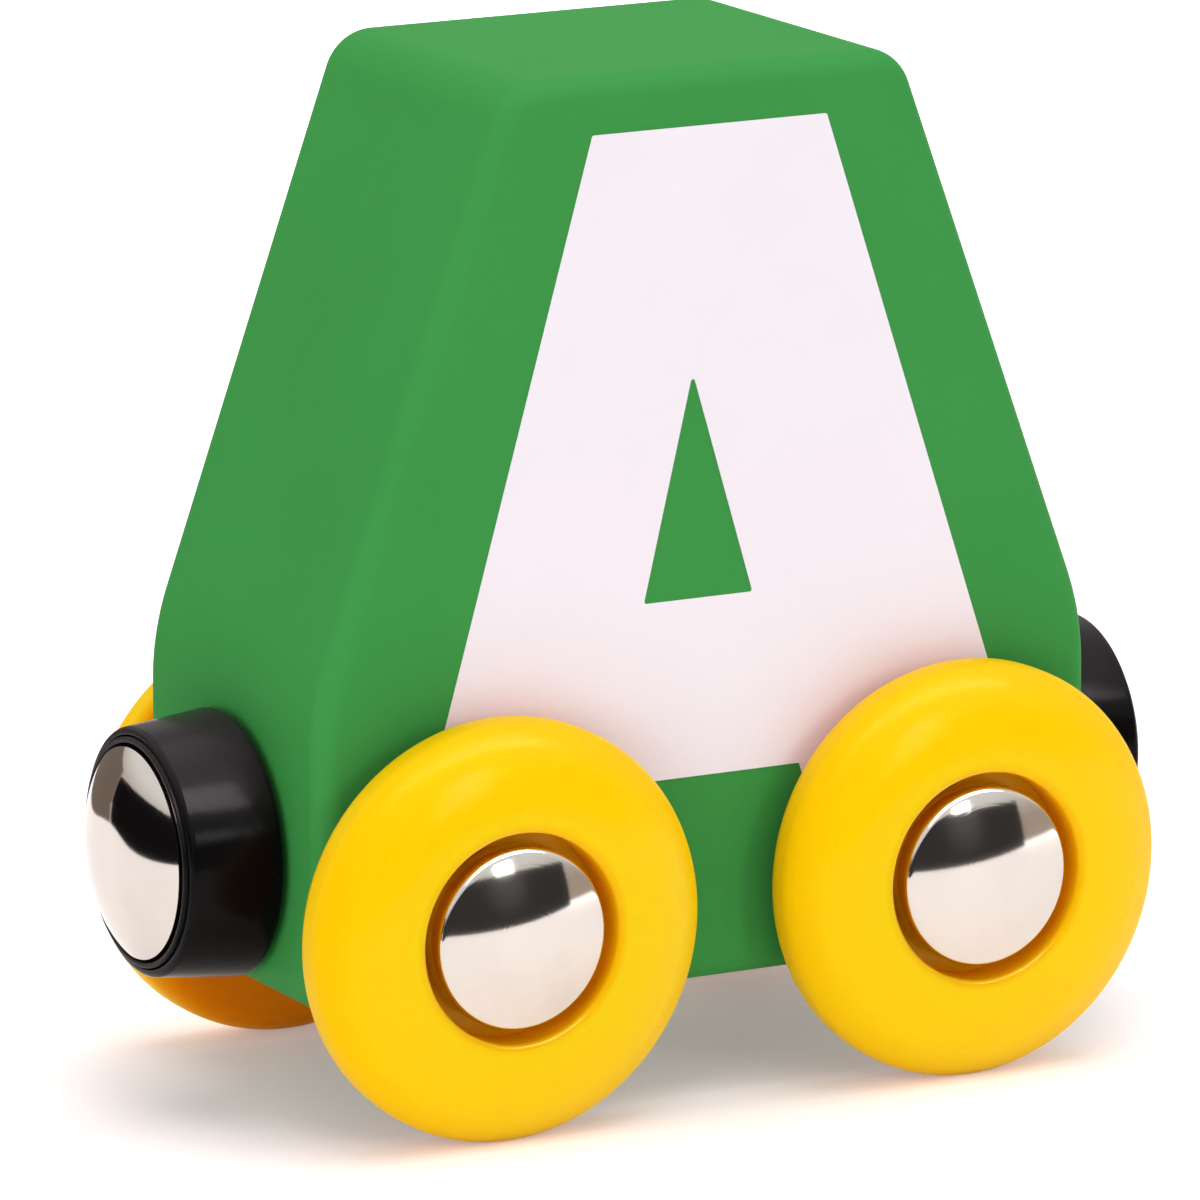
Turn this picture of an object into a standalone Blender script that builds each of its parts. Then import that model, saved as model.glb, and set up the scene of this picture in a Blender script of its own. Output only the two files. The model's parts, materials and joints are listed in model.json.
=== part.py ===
"""Letter train car for a wooden toy railway: a painted block on two loose axles, with magnetic couplers.

Run it in Blender 4.5, in the background or from the text editor. Units are metres and +Z is up. The origin
lies on the running surface under the middle of the car. X runs along the car, with the front at -X, and Y
runs across it, with the left side at -Y.
"""

from math import cos, pi, radians, sin, sqrt, tan

import bmesh
import bpy
from mathutils import Matrix, Vector

# Gaps between pieces
SEAT_GAP = 0.0003  # between two faces that rest on each other
FIT_GAP = 0.0001  # round a piece that is pushed into a hole
RUNNING_GAP = 0.0001  # round an axle that turns in a bore
SIDE_PLAY = 0.0005  # between a wheel's boss and the side of the block

# Wooden block
BLOCK_LENGTH = 0.0430  # at the straight lower ends
BLOCK_TOP_LENGTH = 0.0218  # where the leaning ends would meet the top
BLOCK_WIDTH = 0.0195
BLOCK_HEIGHT = 0.0457
BLOCK_SHOULDER = 0.0162  # height of the straight lower ends
BLOCK_BELOW_AXLE = 0.00475  # from the axles down to the underside
TOP_RADIUS = 0.0026
SHOULDER_RADIUS = 0.0142
BOTTOM_RADIUS = 0.0025
EDGE_RADIUS = 0.0012  # all round both side faces
AXLE_INSET = 0.0086  # from an end of the block to the nearer axle

# Wheels and axles
WHEEL_RADIUS = 0.0105
BOSS_HEIGHT = 0.0004  # how far the boss stands out of the wheel's back
BOSS_WALL = 0.0020  # of the boss, round the bore
BACK_ROUND = 0.0012
TREAD_WIDTH = 0.0006
FACE_CROWN = 0.0021  # how far the outer face falls from the recess to the tread
WEB_THICKNESS = 0.0021  # floor of the recess
LIP_RADIUS = 0.0003  # round edge of the recess
AXLE_RADIUS = 0.0015
AXLE_CHAMFER = 0.0003

# Hub caps
CAP_RADIUS = 0.0047
CAP_GAP = 0.00055  # between the cap and the wall of the recess
CAP_LIFT = 0.0005  # from the cap's socket end up to its rim
CAP_RIM = 0.0012
CAP_CROWN = 0.0010
CAP_WALL = 0.0005
CAP_SOCKET_WALL = 0.0010
CAP_SOCKET_ROOF = 0.0009

# Couplers
COUPLER_ABOVE_UNDERSIDE = 0.0076  # from the block's underside up to the couplers' axis
CUP_RADIUS = 0.00665  # where the cup meets the block
CUP_TAPER = 0.00045  # how much smaller its front is
CUP_WALL = 0.0004
CUP_FLOOR = 0.0008
CUP_REAR_ROUND = 0.0004
CUP_FRONT_ROUND = 0.00035
CUP_MOUTH_DEPTH = 0.0020
SPIGOT_RADIUS = 0.0040
SPIGOT_LENGTH = 0.0033
RING_WALL = 0.0003
RING_HEIGHT = 0.0011
RING_CLEARANCE = 0.00015  # between the ring and the pole cap
POLE_WALL = 0.0005
POLE_FLANGE = 0.0005
POLE_CROWN = 0.0014
POLE_FLAT_RADIUS = 0.0009  # flat where two poles touch
MAGNET_THICKNESS = 0.0037
MAGNET_PROUD = 0.0020  # how far the magnet stands above the cup's shoulder
MAGNET_CHAMFER = 0.0003
SCREW_RADIUS = 0.00095
SCREW_HEAD_RADIUS = 0.0023
SCREW_HEAD_SUNK = 0.0002
SCREW_LENGTH = 0.0072
SCREW_TIP = 0.0008
SCREW_POINT_RADIUS = 0.0003
SCREW_HOLE_GAP = 0.0003  # round the screw in the cup

# Facets
WHEEL_SIDES = 36
CAP_SIDES = 24
AXLE_SIDES = 24
COUPLER_SIDES = 36
SCREW_SIDES = 24
CORNER_STEPS = 5
SHOULDER_STEPS = 4
EDGE_STEPS = 4
CROWN_STEPS = 5
ROUND_STEPS = 3
SMOOTH_ANGLE = radians(35)  # edges sharper than this stay sharp
FLAT_ANGLE = radians(0.1)  # faces flatter than this to each other are joined into one
SIDE_EDGE_ANGLE = radians(60)  # edges sharper than this, round the block's side faces, are rounded
WELD_DISTANCE = 0.000001
CUT_PAST = 0.002  # how far a cutter runs past the face that it opens

# Places worked out from the sizes
AXLE_HEIGHT = WHEEL_RADIUS
UNDERSIDE = AXLE_HEIGHT - BLOCK_BELOW_AXLE
COUPLER_HEIGHT = UNDERSIDE + COUPLER_ABOVE_UNDERSIDE
AXLE_X = BLOCK_LENGTH / 2 - AXLE_INSET

# Along an axle, outwards from the middle of the car
BOSS_FACE = BLOCK_WIDTH / 2 + SIDE_PLAY
WHEEL_BACK = BOSS_FACE + BOSS_HEIGHT
TREAD_IN = WHEEL_BACK + BACK_ROUND
TREAD_OUT = TREAD_IN + TREAD_WIDTH
WHEEL_FACE = TREAD_OUT + FACE_CROWN
RECESS_FLOOR = BOSS_FACE + WEB_THICKNESS
RECESS_RADIUS = CAP_RADIUS + CAP_GAP
CAP_SEAT = RECESS_FLOOR + SEAT_GAP
CAP_RIM_BACK = CAP_SEAT + CAP_LIFT
CAP_RIM_FRONT = CAP_RIM_BACK + CAP_RIM
CAP_TOP = CAP_RIM_FRONT + CAP_CROWN
CAP_SOCKET_END = CAP_TOP - CAP_SOCKET_ROOF
AXLE_END = CAP_SOCKET_END - SEAT_GAP

# Along a coupler, outwards from the middle of the car
BLOCK_END = BLOCK_LENGTH / 2
SPIGOT_END = BLOCK_END - SPIGOT_LENGTH
CUP_BACK = BLOCK_END + SEAT_GAP
POCKET_FLOOR = CUP_BACK + CUP_FLOOR
MAGNET_BACK = POCKET_FLOOR + SEAT_GAP
MAGNET_FRONT = MAGNET_BACK + MAGNET_THICKNESS
CUP_SHOULDER = MAGNET_FRONT - MAGNET_PROUD
CUP_FRONT = CUP_SHOULDER + CUP_MOUTH_DEPTH
FLANGE_BACK = CUP_SHOULDER + SEAT_GAP
FLANGE_FRONT = FLANGE_BACK + POLE_FLANGE
RING_BACK = FLANGE_FRONT + SEAT_GAP
RING_FRONT = RING_BACK + RING_HEIGHT
POLE_RIM = MAGNET_FRONT + SEAT_GAP
POLE_TOP = POLE_RIM + POLE_CROWN
SCREW_TOP = POCKET_FLOOR - SCREW_HEAD_SUNK
SCREW_END = SCREW_TOP - SCREW_LENGTH

# Radii of a coupler, from the cup inwards
CUP_FRONT_RADIUS = CUP_RADIUS - CUP_TAPER
MOUTH_RADIUS = CUP_FRONT_RADIUS - CUP_WALL
RING_OUTER = MOUTH_RADIUS - FIT_GAP
RING_INNER = RING_OUTER - RING_WALL
POLE_RADIUS = RING_INNER - RING_CLEARANCE
FLANGE_RADIUS = MOUTH_RADIUS - FIT_GAP
POLE_INNER = POLE_RADIUS - POLE_WALL
MAGNET_RADIUS = POLE_INNER - SEAT_GAP

ENDS = {"front": -1, "rear": 1}
SIDES = {"left": -1, "right": 1}


def clear_scene():
    """Removes whatever the open file holds."""
    for obj in list(bpy.data.objects):
        bpy.data.objects.remove(obj)


def new_collection(name):
    collection = bpy.data.collections.new(name)
    bpy.context.scene.collection.children.link(collection)
    return collection


def new_material(name, color, roughness, metallic=0.0):
    """A Principled material of one linear colour."""
    material = bpy.data.materials.new(name)
    material.use_nodes = True
    shader = material.node_tree.nodes["Principled BSDF"]
    shader.inputs["Base Color"].default_value = (*color, 1.0)
    shader.inputs["Roughness"].default_value = roughness
    shader.inputs["Metallic"].default_value = metallic
    material.diffuse_color = (*color, 1.0)
    return material


def outside(radius, sides):
    """Corner radius of the polygon whose flats lie at this radius, so that a pin clears it all round."""
    return radius / cos(pi / sides)


def arc(center, radius_x, radius_y, start, end, steps):
    """Points of an elliptic arc between two angles in degrees, both ends included."""
    angles = [radians(start + (end - start) * step / steps) for step in range(steps + 1)]
    return [(center[0] + radius_x * cos(a), center[1] + radius_y * sin(a)) for a in angles]


def crown(rim_radius, rim_height, rise, flat_radius, steps):
    """Points of a domed crown from its flat out to its rim, on a circle through both."""
    span = rim_radius - flat_radius
    sphere = (span**2 + rise**2) / (2 * rise)
    points = []
    for step in range(steps + 1):
        out = span * step / steps
        points.append((flat_radius + out, rim_height + rise - sphere + sqrt(sphere**2 - out**2)))
    return points


def rounded_outline(corners):
    """Points of a closed outline with an arc at each corner, given as (x, y, radius, steps)."""
    points = []
    for index, (x, y, radius, steps) in enumerate(corners):
        corner = Vector((x, y))
        before = (Vector(corners[index - 1][:2]) - corner).normalized()
        after = (Vector(corners[(index + 1) % len(corners)][:2]) - corner).normalized()
        half_angle = before.angle(after) / 2
        center = corner + (before + after).normalized() * radius / sin(half_angle)
        tangent = radius / tan(half_angle)
        first = corner + before * tangent - center
        turn = first.angle_signed(corner + after * tangent - center)
        for step in range(steps + 1):
            points.append(center + Matrix.Rotation(-turn * step / steps, 2) @ first)
    return points


def evaluated_mesh(obj, name):
    """A plain mesh of the object as its modifiers leave it. The object is removed."""
    bpy.context.view_layer.update()
    graph = bpy.context.evaluated_depsgraph_get()
    mesh = bpy.data.meshes.new_from_object(obj.evaluated_get(graph))
    mesh.name = name
    bpy.data.objects.remove(obj)
    return mesh


def turned_mesh(name, profile, sides):
    """A mesh turned about Z from a profile of (radius, height) that runs down its outer side.

    A profile that starts on the axis also ends there. Any other is joined end to start, round a bore.
    """
    outline = bpy.data.meshes.new(name)
    cage = bmesh.new()
    corners = [cage.verts.new((radius, 0, height)) for radius, height in profile]
    for first, second in zip(corners, corners[1:]):
        cage.edges.new((first, second))
    if profile[0][0] > 0:
        cage.edges.new((corners[-1], corners[0]))
    cage.to_mesh(outline)
    cage.free()
    obj = bpy.data.objects.new(name, outline)
    bpy.context.scene.collection.objects.link(obj)
    screw = obj.modifiers.new("turn", "SCREW")
    screw.axis = "Z"
    screw.steps = sides
    screw.render_steps = sides
    screw.use_merge_vertices = True
    screw.merge_threshold = WELD_DISTANCE
    mesh = evaluated_mesh(obj, name)
    mesh.shade_smooth()
    mesh.set_sharp_from_angle(angle=SMOOTH_ANGLE)
    return mesh


def add_object(collection, name, mesh, material=None, parent=None, rotation=(0, 0, 0)):
    """An object of the mesh, on its parent's origin."""
    obj = bpy.data.objects.new(name, mesh)
    collection.objects.link(obj)
    if material and not mesh.materials:
        mesh.materials.append(material)
    obj.parent = parent
    obj.rotation_euler = rotation
    return obj


def add_line(collection, name, location):
    """An empty on the axis that a group of pieces shares."""
    empty = bpy.data.objects.new(name, None)
    empty.location = location
    empty.empty_display_size = WHEEL_RADIUS
    collection.objects.link(empty)
    return empty


def make_cutter(obj):
    obj.hide_render = True
    obj.display_type = "WIRE"


def across(side):
    """Rotation that takes a turned piece's +Z to the given side of the car."""
    return (radians(-90) * side, 0, 0)


def along(end):
    """Rotation that takes a turned piece's +Z to the given end of the car."""
    return (0, radians(90) * end, 0)


def block_mesh():
    """The block before it is bored: its side outline, extruded across the car."""
    lower = BLOCK_LENGTH / 2
    upper = BLOCK_TOP_LENGTH / 2
    rear_half = [
        (lower, UNDERSIDE, BOTTOM_RADIUS, CORNER_STEPS),
        (lower, UNDERSIDE + BLOCK_SHOULDER, SHOULDER_RADIUS, SHOULDER_STEPS),
        (upper, UNDERSIDE + BLOCK_HEIGHT, TOP_RADIUS, CORNER_STEPS),
    ]
    front_half = [(-x, z, radius, steps) for x, z, radius, steps in reversed(rear_half)]
    points = rounded_outline(rear_half + front_half)
    curve = bpy.data.curves.new("block_outline", "CURVE")
    curve.dimensions = "2D"
    curve.fill_mode = "BOTH"
    curve.extrude = BLOCK_WIDTH / 2
    spline = curve.splines.new("POLY")
    spline.points.add(len(points) - 1)
    for spot, point in zip(spline.points, points):
        spot.co = (point.x, point.y, 0, 1)
    spline.use_cyclic_u = True
    obj = bpy.data.objects.new("block_outline", curve)
    bpy.context.scene.collection.objects.link(obj)
    mesh = evaluated_mesh(obj, "body_block")
    bpy.data.curves.remove(curve)
    shell = bmesh.new()
    shell.from_mesh(mesh)
    bmesh.ops.remove_doubles(shell, verts=shell.verts, dist=WELD_DISTANCE)
    bmesh.ops.dissolve_limit(shell, angle_limit=FLAT_ANGLE, verts=shell.verts, edges=shell.edges)
    bmesh.ops.recalc_face_normals(shell, faces=shell.faces)
    shell.to_mesh(mesh)
    shell.free()
    return mesh


def socket_profile():
    """Counterbore for a coupler's spigot, with the screw's pilot hole under it."""
    socket = SPIGOT_RADIUS + FIT_GAP
    bottom = SPIGOT_END - SEAT_GAP
    pilot = SCREW_RADIUS + FIT_GAP
    pilot_end = SCREW_END - SEAT_GAP
    mouth = BLOCK_END + CUT_PAST
    counterbore = [(0, mouth), (socket, mouth), (socket, bottom)]
    return counterbore + [(pilot, bottom), (pilot, pilot_end), (0, pilot_end)]


def wheel_profile():
    bore = outside(AXLE_RADIUS + RUNNING_GAP, WHEEL_SIDES)
    face_start = RECESS_RADIUS + LIP_RADIUS
    lip = arc((face_start, WHEEL_FACE - LIP_RADIUS), LIP_RADIUS, LIP_RADIUS, 180, 90, ROUND_STEPS - 1)
    face = arc((face_start, TREAD_OUT), WHEEL_RADIUS - face_start, FACE_CROWN, 90, 0, CROWN_STEPS)
    back = arc((WHEEL_RADIUS - BACK_ROUND, TREAD_IN), BACK_ROUND, BACK_ROUND, 0, -90, ROUND_STEPS)
    boss = bore + BOSS_WALL
    inside = [(boss, WHEEL_BACK), (boss, BOSS_FACE), (bore, BOSS_FACE), (bore, RECESS_FLOOR)]
    return lip + face[1:] + back + inside + [(RECESS_RADIUS, RECESS_FLOOR)]


def hub_cap_profile():
    """A pressed cap: a domed roof and a rim, hollow behind, with a socket for the axle in the middle."""
    socket = AXLE_RADIUS + FIT_GAP
    tube = socket + CAP_SOCKET_WALL
    rim_inner = CAP_RADIUS - CAP_WALL
    roof = crown(CAP_RADIUS, CAP_RIM_FRONT, CAP_CROWN, 0, CROWN_STEPS)
    hollow = [(rim_inner, CAP_RIM_BACK), (rim_inner, CAP_RIM_FRONT), (tube, CAP_RIM_FRONT)]
    core = [(tube, CAP_SEAT), (socket, CAP_SEAT), (socket, CAP_SOCKET_END), (0, CAP_SOCKET_END)]
    return roof + [(CAP_RADIUS, CAP_RIM_BACK)] + hollow + core


def axle_profile():
    neck = AXLE_RADIUS - AXLE_CHAMFER
    shaft_end = AXLE_END - AXLE_CHAMFER
    outer = [(0, AXLE_END), (neck, AXLE_END), (AXLE_RADIUS, shaft_end)]
    return outer + [(radius, -height) for radius, height in reversed(outer)]


def cup_profile():
    """The coupler's holder: a cup with a stepped pocket, a countersunk floor and a spigot behind it."""
    hole = SCREW_RADIUS + SCREW_HOLE_GAP
    pocket = MAGNET_RADIUS + SEAT_GAP
    sink_gap = SEAT_GAP * sqrt(2)
    sink_top = SCREW_HEAD_RADIUS + sink_gap + SCREW_HEAD_SUNK
    sink_end = POCKET_FLOOR - (sink_top - hole)
    front_center = (CUP_FRONT_RADIUS - CUP_FRONT_ROUND, CUP_FRONT - CUP_FRONT_ROUND)
    rear_center = (CUP_RADIUS - CUP_REAR_ROUND, CUP_BACK + CUP_REAR_ROUND)
    front = arc(front_center, CUP_FRONT_ROUND, CUP_FRONT_ROUND, 90, 0, ROUND_STEPS)
    rear = arc(rear_center, CUP_REAR_ROUND, CUP_REAR_ROUND, 0, -90, ROUND_STEPS - 1)
    spigot = [(SPIGOT_RADIUS, CUP_BACK), (SPIGOT_RADIUS, SPIGOT_END), (hole, SPIGOT_END), (hole, sink_end)]
    floor = [(sink_top, POCKET_FLOOR), (pocket, POCKET_FLOOR)]
    mouth = [(pocket, CUP_SHOULDER), (MOUTH_RADIUS, CUP_SHOULDER), (MOUTH_RADIUS, CUP_FRONT)]
    return front + rear + spigot + floor + mouth


def magnet_profile():
    face = MAGNET_RADIUS - MAGNET_CHAMFER
    front = [(0, MAGNET_FRONT), (face, MAGNET_FRONT), (MAGNET_RADIUS, MAGNET_FRONT - MAGNET_CHAMFER)]
    back = [(MAGNET_RADIUS, MAGNET_BACK + MAGNET_CHAMFER), (face, MAGNET_BACK), (0, MAGNET_BACK)]
    return front + back


def pole_cap_profile():
    """A pressed steel dome, hollow over the magnet, with a flange under the retaining ring."""
    dome = crown(POLE_RADIUS, POLE_RIM, POLE_CROWN, POLE_FLAT_RADIUS, CROWN_STEPS)
    flange = [(POLE_RADIUS, FLANGE_FRONT), (FLANGE_RADIUS, FLANGE_FRONT), (FLANGE_RADIUS, FLANGE_BACK)]
    hollow = crown(POLE_INNER, POLE_RIM, POLE_CROWN - POLE_WALL, 0, ROUND_STEPS)
    return [(0, POLE_TOP)] + dome + flange + [(POLE_INNER, FLANGE_BACK)] + hollow[::-1]


def ring_profile():
    return [
        (RING_INNER, RING_FRONT),
        (RING_OUTER, RING_FRONT),
        (RING_OUTER, RING_BACK),
        (RING_INNER, RING_BACK),
    ]


def screw_profile():
    neck = SCREW_TOP - (SCREW_HEAD_RADIUS - SCREW_RADIUS)
    head = [(0, SCREW_TOP), (SCREW_HEAD_RADIUS, SCREW_TOP), (SCREW_RADIUS, neck)]
    return head + [(SCREW_RADIUS, SCREW_END + SCREW_TIP), (SCREW_POINT_RADIUS, SCREW_END), (0, SCREW_END)]


def add_cutters(collection):
    """The two axle bores and the two coupler sockets."""
    cutters = []
    bore = outside(AXLE_RADIUS + RUNNING_GAP, AXLE_SIDES)
    socket = turned_mesh("coupler_socket", socket_profile(), COUPLER_SIDES)
    for end_name, end in ENDS.items():
        bpy.ops.mesh.primitive_cylinder_add(
            vertices=AXLE_SIDES,
            radius=bore,
            depth=BLOCK_WIDTH + 2 * CUT_PAST,
            location=(AXLE_X * end, 0, AXLE_HEIGHT),
            rotation=across(1),
        )
        hole = bpy.context.object
        hole.name = f"{end_name}_axle_bore"
        for owner in list(hole.users_collection):
            owner.objects.unlink(hole)
        collection.objects.link(hole)
        cutters.append(hole)
        pocket = add_object(collection, f"{end_name}_coupler_socket", socket, rotation=along(end))
        pocket.location = (0, 0, COUPLER_HEIGHT)
        cutters.append(pocket)
    for cutter in cutters:
        make_cutter(cutter)
    return cutters


def add_block(collection, cutters, paint):
    """The block with its long edges rounded and its holes bored."""
    block = add_object(collection, "body_block", block_mesh(), paint, rotation=(radians(90), 0, 0))
    rounding = block.modifiers.new("round_edges", "BEVEL")
    rounding.width = EDGE_RADIUS
    rounding.segments = EDGE_STEPS
    rounding.limit_method = "ANGLE"
    rounding.angle_limit = SIDE_EDGE_ANGLE
    rounding.use_clamp_overlap = False
    for cutter in cutters:
        boring = block.modifiers.new(cutter.name, "BOOLEAN")
        boring.operation = "DIFFERENCE"
        boring.solver = "EXACT"
        boring.object = cutter


def add_running_gear(collection, steel, wheel_plastic, chrome):
    """Two axles, each with a wheel and a hub cap at both ends."""
    axle = turned_mesh("axle", axle_profile(), AXLE_SIDES)
    wheel = turned_mesh("wheel", wheel_profile(), WHEEL_SIDES)
    cap = turned_mesh("hub_cap", hub_cap_profile(), CAP_SIDES)
    for end_name, end in ENDS.items():
        line = add_line(collection, f"{end_name}_axle_line", (AXLE_X * end, 0, AXLE_HEIGHT))
        add_object(collection, f"{end_name}_axle", axle, steel, line, across(1))
        for side_name, side in SIDES.items():
            place = f"{end_name}_{side_name}"
            add_object(collection, f"{place}_wheel", wheel, wheel_plastic, line, across(side))
            add_object(collection, f"{place}_hub_cap", cap, chrome, line, across(side))


def add_couplers(collection, steel, black_plastic, chrome, magnet_grey):
    """A magnetic coupler at each end, stacked from the block outwards."""
    stack = [
        ("coupler_cup", turned_mesh("coupler_cup", cup_profile(), COUPLER_SIDES), black_plastic),
        ("coupler_screw", turned_mesh("coupler_screw", screw_profile(), SCREW_SIDES), steel),
        ("coupler_magnet", turned_mesh("coupler_magnet", magnet_profile(), COUPLER_SIDES), magnet_grey),
        ("pole_cap", turned_mesh("pole_cap", pole_cap_profile(), COUPLER_SIDES), chrome),
        ("retaining_ring", turned_mesh("retaining_ring", ring_profile(), COUPLER_SIDES), black_plastic),
    ]
    for end_name, end in ENDS.items():
        line = add_line(collection, f"{end_name}_coupler_line", (0, 0, COUPLER_HEIGHT))
        for piece, mesh, material in stack:
            add_object(collection, f"{end_name}_{piece}", mesh, material, line, along(end))


def main():
    clear_scene()
    parts = new_collection("letter_train_car")
    cutters = new_collection("cutters")
    paint = new_material("green_paint", (0.053, 0.305, 0.069), 0.40)
    wheel_plastic = new_material("yellow_plastic", (1.000, 0.604, 0.002), 0.30)
    black_plastic = new_material("black_plastic", (0.010, 0.010, 0.011), 0.25)
    chrome = new_material("chrome", (0.800, 0.800, 0.800), 0.08, 1.0)
    steel = new_material("steel", (0.550, 0.550, 0.560), 0.35, 1.0)
    magnet_grey = new_material("ferrite", (0.040, 0.040, 0.042), 0.60)
    add_block(parts, add_cutters(cutters), paint)
    add_running_gear(parts, steel, wheel_plastic, chrome)
    add_couplers(parts, steel, black_plastic, chrome, magnet_grey)


main()
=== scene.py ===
"""Looks of the letter train car: finer pieces, finishes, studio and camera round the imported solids.

Lengths are metres in the part's own frame: X runs along the car with the front at -X, Y runs across it with
the left side at -Y, and the running surface is at Z = 0.
"""

import json
import logging
from dataclasses import dataclass
from enum import Enum
from math import asin, cos, pi, radians, sin, sqrt, tan
from typing import Any

import bmesh
import bpy
from bpy.types import ID, Material, Mesh, Node, NodeSocket, NodeTree, Object
from mathutils import Matrix, Vector


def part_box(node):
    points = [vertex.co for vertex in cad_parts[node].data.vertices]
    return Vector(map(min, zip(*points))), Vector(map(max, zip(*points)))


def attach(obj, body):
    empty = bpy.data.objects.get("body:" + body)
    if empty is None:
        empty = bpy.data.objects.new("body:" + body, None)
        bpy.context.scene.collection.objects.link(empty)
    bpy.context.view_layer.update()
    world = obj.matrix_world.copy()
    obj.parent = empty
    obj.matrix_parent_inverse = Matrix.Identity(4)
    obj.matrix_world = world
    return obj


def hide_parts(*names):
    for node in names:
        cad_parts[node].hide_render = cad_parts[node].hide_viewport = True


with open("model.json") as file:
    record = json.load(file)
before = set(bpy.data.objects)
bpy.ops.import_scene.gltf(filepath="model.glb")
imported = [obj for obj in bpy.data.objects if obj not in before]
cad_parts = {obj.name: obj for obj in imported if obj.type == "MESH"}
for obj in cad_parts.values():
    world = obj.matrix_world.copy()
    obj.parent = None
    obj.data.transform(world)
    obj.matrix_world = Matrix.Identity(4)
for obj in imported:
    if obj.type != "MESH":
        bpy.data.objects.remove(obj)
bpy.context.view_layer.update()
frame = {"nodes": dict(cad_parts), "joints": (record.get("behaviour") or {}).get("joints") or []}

LOG = logging.getLogger("letter_car")
PICTURE_PIXELS = 1200
SENSOR_WIDTH_MM = 36.0
CLIP_START = 0.01

# Points closer than WELD are merged, and an edge that turns further than SHARP_EDGE shows as an edge.
WELD = 1e-7
SHARP_EDGE = radians(40)
# Loops this far from a rounding keep its shading off the flat beside it.
HOLD = 0.00004
# A cutter stands this far out of the face that it enters.
OVERSHOOT = 0.002
MICROMETRE_DECIMALS = 6
QUARTER_TURN = radians(90)
NOISE_MIDDLE = 0.5
NOISE_ROUGHNESS = 0.55
WHITE = (1.0, 1.0, 1.0)

Point = tuple[float, float]
Profile = list[Point]
Triple = tuple[float, float, float]
Color = tuple[float, float, float]
Values = dict[Any, Any]
# Features in a metre, and octaves.
Noise = tuple[float, float]
# Where a smooth step starts and where it ends.
Step = tuple[float, float]


class Axis(Enum):
    """The axes of the part's frame."""

    X = 0
    Y = 1
    Z = 2


class Side(Enum):
    """The two long sides of the car, with their direction along Y."""

    LEFT = -1
    RIGHT = 1


class End(Enum):
    """The two ends of the car, with their direction along X."""

    FRONT = -1
    REAR = 1


def rounded(length: float) -> float:
    """A length to the micrometre."""
    return round(float(length), MICROMETRE_DECIMALS)


def solid_low(node: str, axis: Axis) -> float:
    """A solid's lowest place along an axis."""
    return rounded(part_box(node)[0][axis.value])


def solid_high(node: str, axis: Axis) -> float:
    """A solid's highest place along an axis."""
    return rounded(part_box(node)[1][axis.value])


def solid_size(node: str, axis: Axis) -> float:
    """A solid's size along an axis."""
    return rounded(solid_high(node, axis) - solid_low(node, axis))


def solid_middle(node: str, axis: Axis) -> float:
    """The middle of a solid along an axis."""
    return rounded((solid_low(node, axis) + solid_high(node, axis)) / 2)


def joint_place(name: str, axis: Axis) -> float:
    """A joint's place along an axis."""
    return next(joint["pos_m"][axis.value] for joint in frame["joints"] if joint["name"] == name)


def opaque(color: Color) -> tuple[float, ...]:
    """A colour with its alpha."""
    return (*color, 1.0)


def enabled(sockets: Any, name: str) -> NodeSocket:
    """The enabled socket of that name."""
    return next(socket for socket in sockets if socket.name == name and socket.enabled)


class Socket:
    """An output of a node that takes part in arithmetic, one Math node for each operator."""

    def __init__(self, sheet: "Sheet", output: NodeSocket) -> None:
        """Keeps the output and the sheet that new Math nodes go on."""
        self.sheet = sheet
        self.output = output

    def math(self, operation: str, *values: Any) -> "Socket":
        """The result of a Math node with these numbers or sockets as its inputs."""
        return self.sheet.node("ShaderNodeMath", {"operation": operation}, dict(enumerate(values)))["Value"]

    def __add__(self, other: Any) -> "Socket":
        """The sum."""
        return self.math("ADD", self, other)

    def __radd__(self, other: Any) -> "Socket":
        """The sum, with the number first."""
        return self.math("ADD", other, self)

    def __sub__(self, other: Any) -> "Socket":
        """The difference."""
        return self.math("SUBTRACT", self, other)

    def __rsub__(self, other: Any) -> "Socket":
        """The difference, with the number first."""
        return self.math("SUBTRACT", other, self)

    def __mul__(self, other: Any) -> "Socket":
        """The product."""
        return self.math("MULTIPLY", self, other)

    def __rmul__(self, other: Any) -> "Socket":
        """The product, with the number first."""
        return self.math("MULTIPLY", other, self)

    def __truediv__(self, other: Any) -> "Socket":
        """The quotient."""
        return self.math("DIVIDE", self, other)

    def __rtruediv__(self, other: Any) -> "Socket":
        """The quotient, with the number first."""
        return self.math("DIVIDE", other, self)

    def __abs__(self) -> "Socket":
        """The size without its sign."""
        return self.math("ABSOLUTE", self)

    def floor(self) -> "Socket":
        """The whole number below."""
        return self.math("FLOOR", self)

    def swing(self, amount: float) -> "Socket":
        """A noise value about zero, times an amount."""
        return (self - NOISE_MIDDLE) * amount

    def step(self, low: float, high: float) -> "Socket":
        """A smooth step from 0 to 1.

        Args:
            low: where the step starts.
            high: where it ends; below low, the step falls.

        Returns:
            The step's height.
        """
        settings = {"interpolation_type": "SMOOTHSTEP"}
        values = {"Value": self, "From Min": low, "From Max": high, "To Min": 0.0, "To Max": 1.0}
        if low > high:
            values.update({"From Min": high, "From Max": low, "To Min": 1.0, "To Max": 0.0})
        return self.sheet.node("ShaderNodeMapRange", settings, values)["Result"]


class Outputs:
    """A node's outputs by name."""

    def __init__(self, sheet: "Sheet", node: Node) -> None:
        """Keeps the node and the sheet that it is on."""
        self.sheet = sheet
        self.node = node

    def __getitem__(self, name: str) -> Socket:
        """The enabled output of that name."""
        return Socket(self.sheet, enabled(self.node.outputs, name))


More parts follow.
